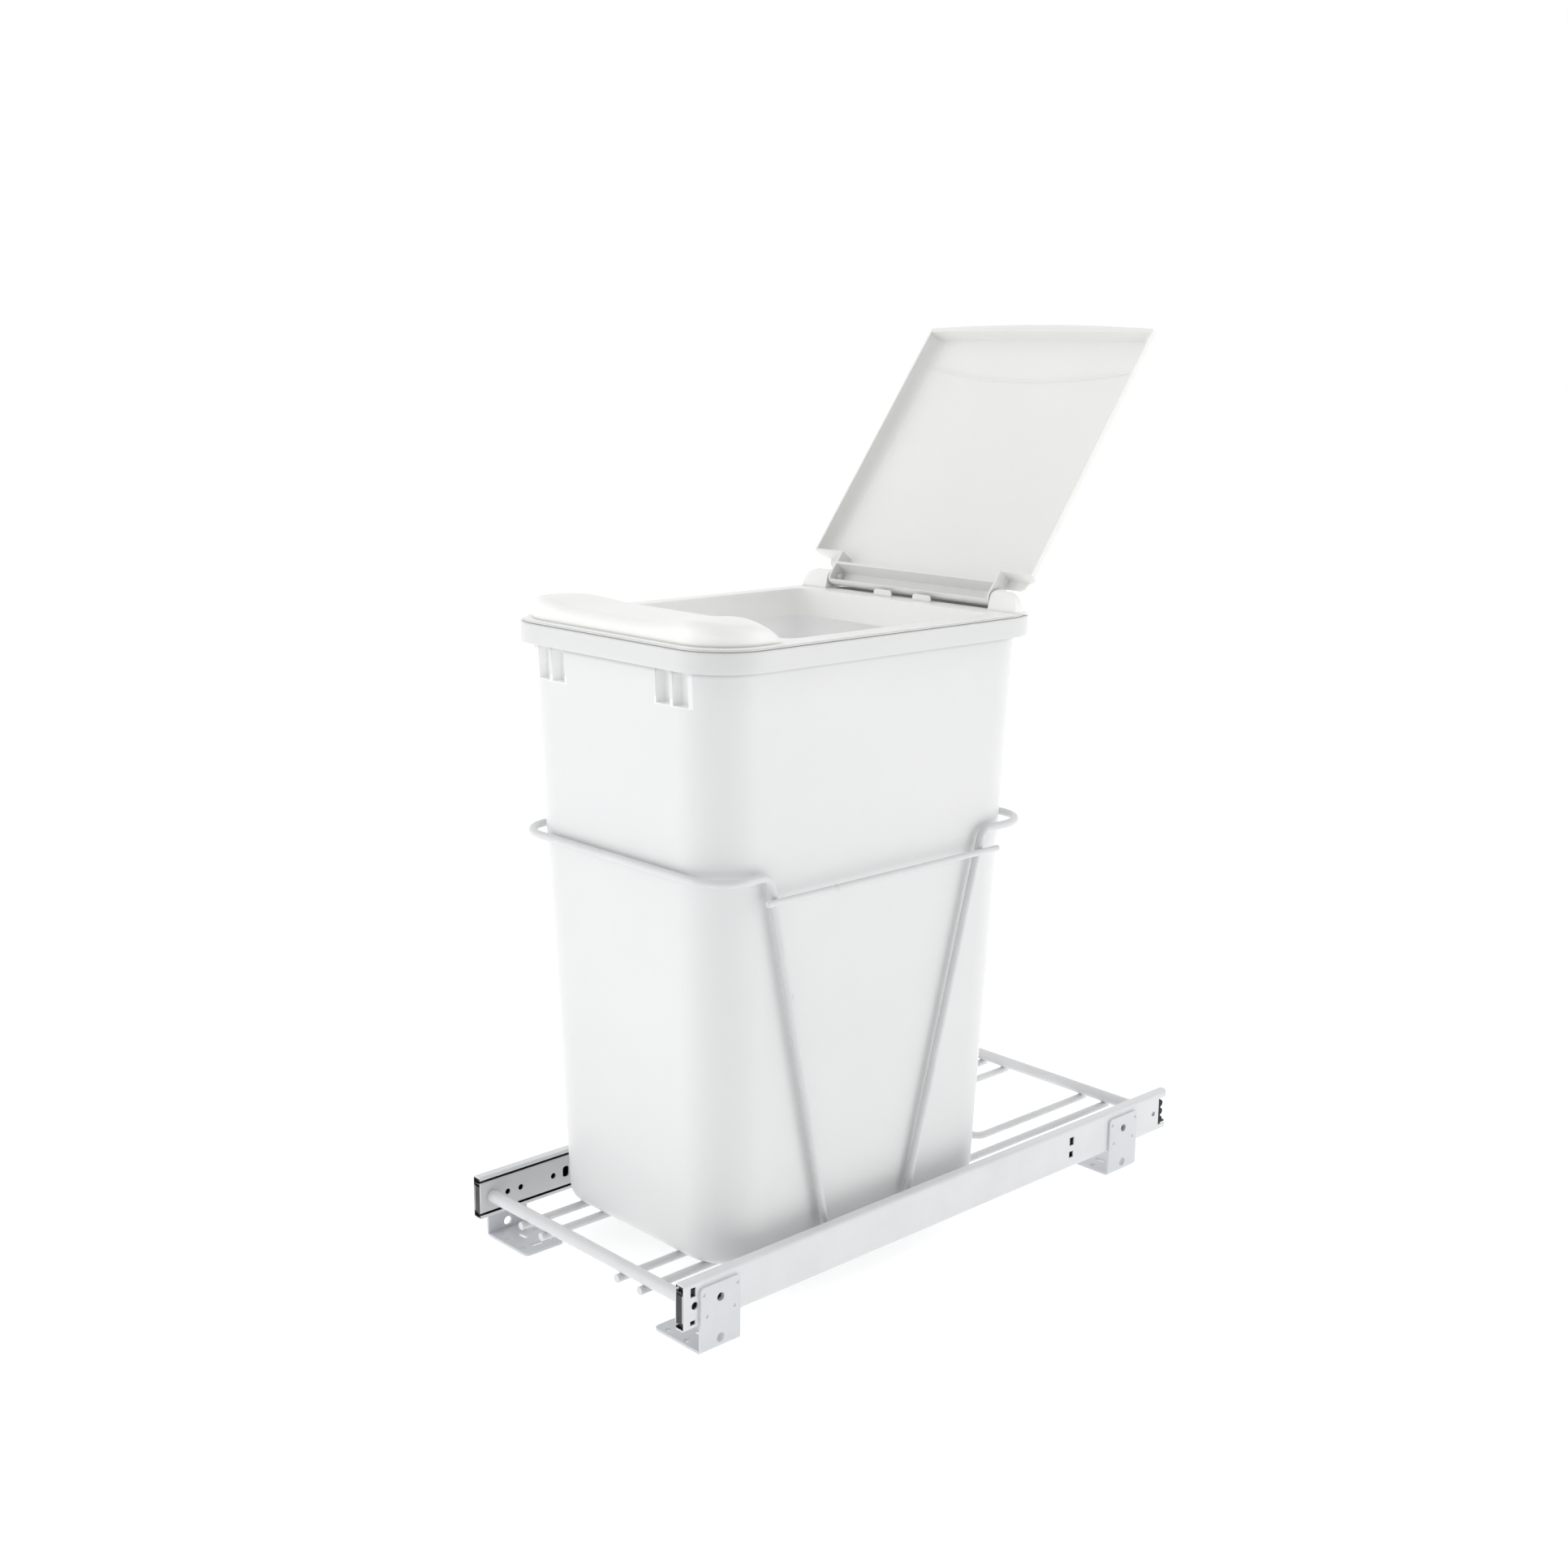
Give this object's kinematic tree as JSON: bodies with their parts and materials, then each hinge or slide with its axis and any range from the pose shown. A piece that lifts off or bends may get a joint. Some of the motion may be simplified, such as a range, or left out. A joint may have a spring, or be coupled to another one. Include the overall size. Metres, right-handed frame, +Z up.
{
  "type": "pull-out waste container",
  "caption": "Pull-out kitchen waste bin with a hinged lid, carried in a wire cradle on two ball-bearing drawer slides with floor brackets.",
  "frame": {"origin": "on the cabinet floor, midway between the two slides and halfway along them", "axes": "+Z up, +X to the right seen from the front, +Y to the back of the cabinet; the drawer pulls out along -Y"},
  "size_m": [0.2594, 0.559, 0.7116],
  "materials": {
    "white_steel": "satin",
    "track_steel": "satin",
    "wire_coating": "satin",
    "black_plastic": "matt",
    "black_rubber": "matt",
    "cage_steel": "greased",
    "ball_steel": "polished",
    "screw_steel": "bright",
    "bin_plastic": "satin gloss",
    "lid_plastic": "satin gloss"
  },
  "bodies": {
    "cabinet_side": {"outer_slide_left": "white_steel", "outer_slide_right": "white_steel", "bracket_front_left": "white_steel", "bracket_front_right": "white_steel", "bracket_rear_left": "white_steel", "bracket_rear_right": "white_steel", "front_guide_left": "black_plastic", "front_guide_right": "black_plastic", "rear_stop_left": "black_rubber", "rear_stop_right": "black_rubber"},
    "cage_left": {"ball_cage_left": "cage_steel", "balls_left": "ball_steel"},
    "cage_right": {"ball_cage_right": "cage_steel", "balls_right": "ball_steel"},
    "drawer": {"inner_slide_left": "track_steel", "inner_slide_right": "track_steel", "front_bar": "wire_coating", "rear_bar": "wire_coating", "bar_screws": "screw_steel", "base_wire_left": "wire_coating", "base_wire_right": "wire_coating", "front_loop_wire": "wire_coating", "rear_loop_wire": "wire_coating", "front_hoop_wire": "wire_coating", "rear_hoop_wire": "wire_coating", "side_wire_left": "wire_coating", "side_wire_right": "wire_coating"},
    "waste_bin": {"bin": "bin_plastic"},
    "frame": {"lid_frame": "lid_plastic"},
    "cover": {"lid": "lid_plastic"}
  },
  "joints": [
    {"name": "drawer_slide", "type": "slide", "parent": "cabinet_side", "child": "drawer", "axis": [0, -1, 0], "range_m": [0, 0.419]},
    {"name": "cage_left_slide", "type": "slide", "parent": "cabinet_side", "child": "cage_left", "axis": [0, -1, 0], "range_m": [0, 0.2095]},
    {"name": "cage_right_slide", "type": "slide", "parent": "cabinet_side", "child": "cage_right", "axis": [0, -1, 0], "range_m": [0, 0.2095]},
    {"name": "bin_lift", "type": "slide", "parent": "drawer", "child": "waste_bin", "axis": [0, 0, 1], "range_m": [0, 0.31]},
    {"name": "lid_frame_lift", "type": "slide", "parent": "waste_bin", "child": "frame", "axis": [0, 0, 1], "range_m": [0, 0.03]},
    {"name": "lid_hinge", "type": "hinge", "parent": "frame", "child": "cover", "pos_m": [0, 0.0728, 0.5041], "axis": [1, 0, 0], "range_deg": [0, 127]}
  ],
  "couplings": [
    {"joint": "cage_left_slide", "follows": "drawer_slide", "ratio": 0.5},
    {"joint": "cage_right_slide", "follows": "drawer_slide", "ratio": 0.5}
  ]
}
